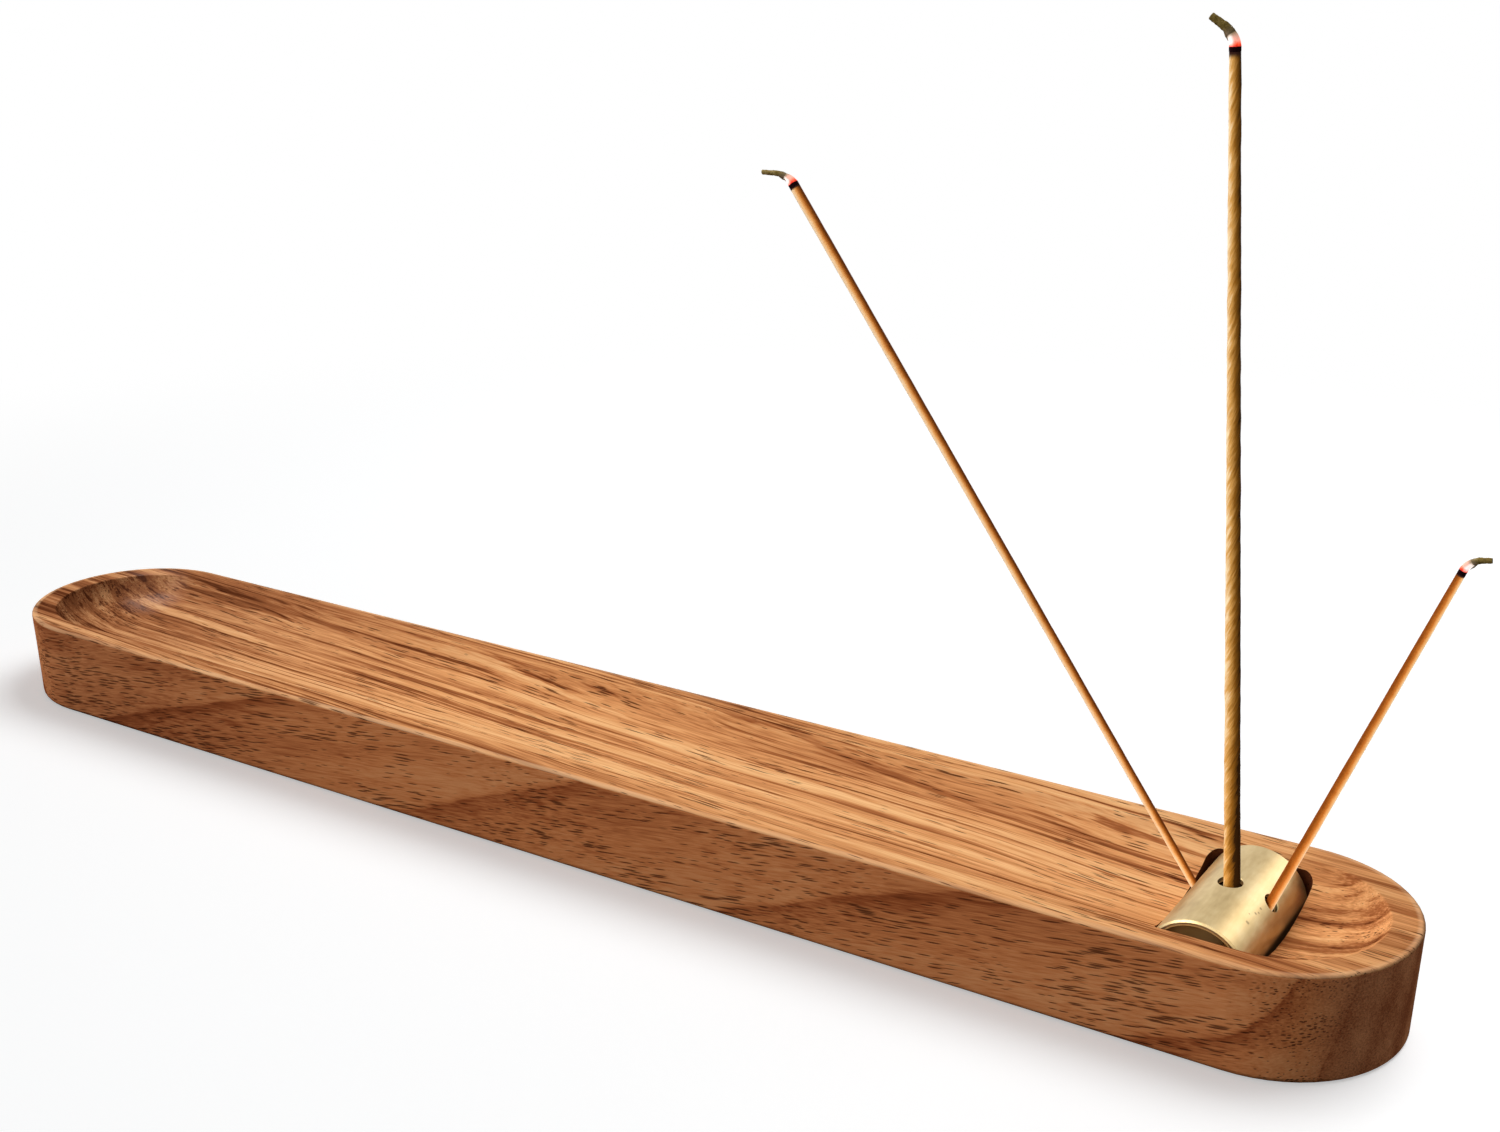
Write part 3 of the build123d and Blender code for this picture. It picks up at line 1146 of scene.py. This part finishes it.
def crumbly_ash():
    """Rough olive-brown ash, greyer where it leaves the ember."""
    material, tree = new_finish("crumbly_ash", specular_ior_level=matte_specular)
    place = object_place(tree)
    tone = use_group(tree, uneven_tone, place=place, size=ash_tone_size, detail=3.0)["Tone"]
    powder = use_group(tree, powdery_grain, place=place, **ash_powder)
    shade = add_up(tree, 0.5, (tone, 1.0), (powder["Grain"], ash_grain_share))
    inside = fade(tree, attribute(tree, "inner"), *fresh_ash_inner_span)
    fresh_colour = blend(tree, inside, fresh_ash_outside, fresh_ash_inside)
    fresh = fade(tree, attribute(tree, "along"), *fresh_ash_span, fresh_ash_share, 0.0)
    colour = blend(tree, fresh, ramp(tree, shade, ash_shades), fresh_colour)
    return powdery(material, powder, base_color=colour)


def make_camera():
    """The camera at the photograph's place and angle."""
    data = bpy.data.cameras.new("camera")
    data.sensor_fit = "HORIZONTAL"
    data.sensor_width = sensor_width
    data.lens = focal_length_px / photo_width_px * sensor_width
    camera = bpy.data.objects.new("camera", data)
    camera.location = camera_place
    camera.rotation_euler = (math.radians(90 - camera_elevation), 0, math.radians(camera_azimuth))
    bpy.context.scene.collection.objects.link(camera)
    bpy.context.scene.camera = camera


def seen_directly(tree):
    """1 for what the camera sees, also in a mirror or through glass, and 0 for light that falls."""
    path = node(tree, "ShaderNodeLightPath").outputs
    seen = calc(tree, "MAXIMUM", path["Is Camera Ray"], path["Is Glossy Ray"])
    return calc(tree, "MAXIMUM", seen, path["Is Transmission Ray"])


def make_floor():
    """A pale floor that keeps the object's shadow and goes white further out."""
    bpy.ops.object.select_all(action="DESELECT")
    bpy.ops.mesh.primitive_plane_add(size=floor_size)
    floor = bpy.context.active_object
    floor.name = "floor"
    material = bpy.data.materials.new("white_floor")
    material.use_nodes = True
    tree = material.node_tree
    tree.nodes.clear()
    far = fade(tree, distance(tree, object_place(tree), (0.0, 0.0, 0.0)), *floor_span)
    seen = seen_directly(tree)
    colour = blend(tree, seen, floor_bounce_colour, floor_colour)
    lit = filled(tree, node(tree, "ShaderNodeBsdfDiffuse"), colour)["BSDF"]
    glow = times(tree, seen, floor_lift)
    lift = fed(tree, node(tree, "ShaderNodeEmission"), strength=glow)["Emission"]
    near_floor = filled(tree, node(tree, "ShaderNodeAddShader"), lit, lift)["Shader"]
    far_floor = node(tree, "ShaderNodeEmission").outputs["Emission"]
    share = times(tree, far, seen)
    mix = filled(tree, node(tree, "ShaderNodeMixShader"), share, near_floor, far_floor)
    fed(tree, node(tree, "ShaderNodeOutputMaterial"), surface=mix["Shader"])
    dress(floor, material)
    return floor


def make_surround():
    """A surround that looks white and lights the object only a little."""
    world = bpy.data.worlds.new("white_surround")
    bpy.context.scene.world = world
    world.use_nodes = True
    tree = world.node_tree
    strength = add_up(tree, ambient_strength, (seen_directly(tree), 1.0 - ambient_strength))
    fed(tree, tree.nodes["Background"], color=white, strength=strength)


def light_group(name, state, pieces):
    """A group that takes a light alone, or is left out of it."""
    group = bpy.data.collections.new(name)
    for piece in pieces:
        group.objects.link(piece)
    for member in group.collection_objects:
        member.light_linking.link_state = state
    return group


def make_softbox(name, box, groups):
    """A soft light aimed at the middle of the tray, for the pieces of one group."""
    data = bpy.data.lights.new(name, "AREA")
    data.size = box.size
    data.energy = box.power
    data.color = box.colour
    light = bpy.data.objects.new(name, data)
    turn, rise = math.radians(box.azimuth), math.radians(box.elevation)
    level = math.cos(rise)
    away = Vector((math.sin(turn) * level, -math.cos(turn) * level, math.sin(rise)))
    light.location = away * box.distance
    light.rotation_mode = "QUATERNION"
    light.rotation_quaternion = away.to_track_quat("Z", "Y")
    light.light_linking.receiver_collection = groups[box.lights]
    light.light_linking.blocker_collection = groups.get(box.blockers)
    bpy.context.scene.collection.objects.link(light)


uneven_tone = make_uneven_tone()
powdery_grain = make_powdery_grain()
scorched_end = make_scorched_end()
dress(nodes["tray"], oiled_wood())
dress(nodes["brass_tube"], satin_brass())
rolled = rolled_incense()
twisted = twisted_incense()
ash_material = crumbly_ash()
tip_materials = (burnt_char(), glowing_ember(), ash_material, ash_material)
stick_pieces = []
for side, tip in tips.items():
    chance = random.Random(side)
    rod = read_rod(side)
    ridged = side == "middle"
    stick = make_stick(side + ("_twisted_stick" if ridged else "_rolled_stick"), rod, ridged)
    # paints light on one side of the stick and shade on the other
    paint_light_side(stick, rod, painted_light_strengths[side], painted_light_lifts[side])
    dress(stick, twisted if ridged else rolled)
    stick.visible_glossy = False  # the brass is too dull to mirror the sticks
    stick_pieces.append(stick)
    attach(stick, side + "_incense")
    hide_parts(side + "_stick")
    pieces = make_tip(side, rod, tip, chance)
    for piece, material, zone in zip(pieces, tip_materials, ("char", "ember", "ash", "ash")):
        dress(piece, material)
        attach(piece, side + "_incense")
    for piece, zone in zip(pieces, ("char", "ember", "ash")):
        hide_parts(side + "_" + zone)

make_camera()
make_surround()
floor = make_floor()
members = {
    "all_but_floor": ("EXCLUDE", [floor]),
    "floor_alone": ("INCLUDE", [floor]),
    "brass_alone": ("INCLUDE", [nodes["brass_tube"]]),
    "sticks_alone": ("INCLUDE", stick_pieces),
    "right_stick_alone": ("INCLUDE", stick_pieces[-1:]),
}
groups = {name: light_group(name, *member) for name, member in members.items()}
for name, box in softboxes.items():
    make_softbox(name, box, groups)
bpy.context.scene.view_settings.view_transform = "Standard"
